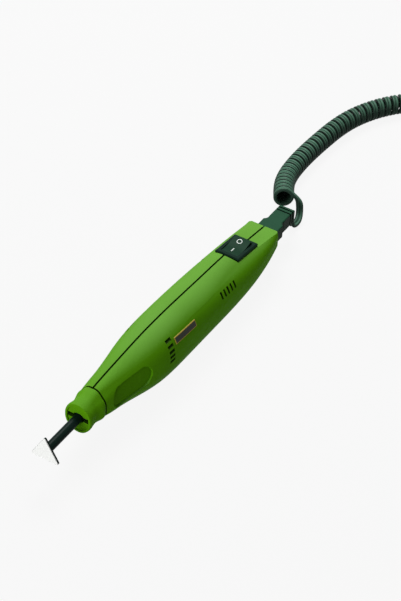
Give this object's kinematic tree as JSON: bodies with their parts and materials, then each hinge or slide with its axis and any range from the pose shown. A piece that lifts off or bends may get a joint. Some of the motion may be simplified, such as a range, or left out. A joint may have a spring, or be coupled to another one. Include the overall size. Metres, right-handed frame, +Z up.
{
  "type": "pen sander",
  "caption": "Slim corded sander held like a pen: a tapered two-half housing with a rocker switch drives a small triangular sanding plate on a shaft, fed by a curly low-voltage cord.",
  "frame": {"origin": "on the surface that the tool lies on, under the middle of the tool's length without its cord", "axes": "+X along the drive axis from the sanding plate to the cord, +Z up through the switch, +Y to the side without the label"},
  "size_m": [0.4494, 0.0909, 0.039],
  "materials": {
    "housing_plastic": "satin moulded",
    "dark_plastic": "moulded, slight gloss",
    "holder_plastic": "moulded",
    "abrasive": "grit on backing",
    "label": "printed plate",
    "cord_jacket": "soft jacket",
    "contact": "bright nickel",
    "steel": "ground",
    "blackened_steel": "blackened",
    "lever_plastic": "moulded",
    "bronze": "sintered",
    "brass": "turned",
    "buffer_rubber": "soft",
    "fan_plastic": "moulded",
    "core_steel": "stacked sheets",
    "copper": "lacquered wire",
    "can_steel": "plated",
    "magnet": "sintered",
    "cap_plastic": "moulded",
    "carbon": "pressed carbon",
    "suppressor_coat": "dipped",
    "wire_jacket": "soft jacket"
  },
  "bodies": {
    "housing": {"housing_left": "housing_plastic", "housing_right": "housing_plastic", "nose_collar": "housing_plastic", "label_plate": "label", "switch_frame": "dark_plastic", "switch_terminals": "brass", "cord_anchor": "dark_plastic", "cord_lead": "cord_jacket", "curly_cord": "cord_jacket", "cord_tail": "cord_jacket", "supply_plug": "dark_plastic", "plug_contact": "contact", "housing_screws": "blackened_steel", "lever_pivot_pin": "steel", "motor_can": "can_steel", "field_magnets": "magnet", "motor_end_cap": "cap_plastic", "motor_bushes": "bronze", "carbon_brushes": "carbon", "brush_springs": "brass", "motor_terminals": "brass", "suppressor": "suppressor_coat", "motor_mounts": "buffer_rubber", "motor_leads": "wire_jacket", "supply_leads": "wire_jacket"},
    "rotor": {"rotor_shaft": "steel", "eccentric_hub": "brass", "eccentric_bearing": "steel", "cooling_fan": "fan_plastic", "armature_core": "core_steel", "armature_windings": "copper", "commutator": "copper"},
    "lever": {"drive_lever": "lever_plastic", "lever_bush": "bronze", "socket_buffer": "buffer_rubber"},
    "holder": {"sanding_holder": "holder_plastic", "holder_cross_pin": "steel", "abrasive_pad": "abrasive"},
    "rocker": {"switch_rocker": "dark_plastic"}
  },
  "joints": [
    {"name": "rotor_spin", "type": "hinge", "parent": "housing", "child": "rotor", "pos_m": [0.00125, 0, 0.0235], "axis": [1, 0, 0], "continuous": true},
    {"name": "lever_swing", "type": "hinge", "parent": "housing", "child": "lever", "pos_m": [-0.06875, 0, 0.0235], "axis": [0, 0, 1], "range_deg": [-1.18, 1.18]},
    {"name": "holder_twist", "type": "hinge", "parent": "lever", "child": "holder", "pos_m": [-0.08775, 0, 0.0235], "axis": [-1, 0, 0], "range_deg": [0, 90]},
    {"name": "switch_rock", "type": "hinge", "parent": "housing", "child": "rocker", "pos_m": [0.06636, 0, 0.02896], "axis": [0, 1, 0], "range_deg": [0, 20]}
  ]
}
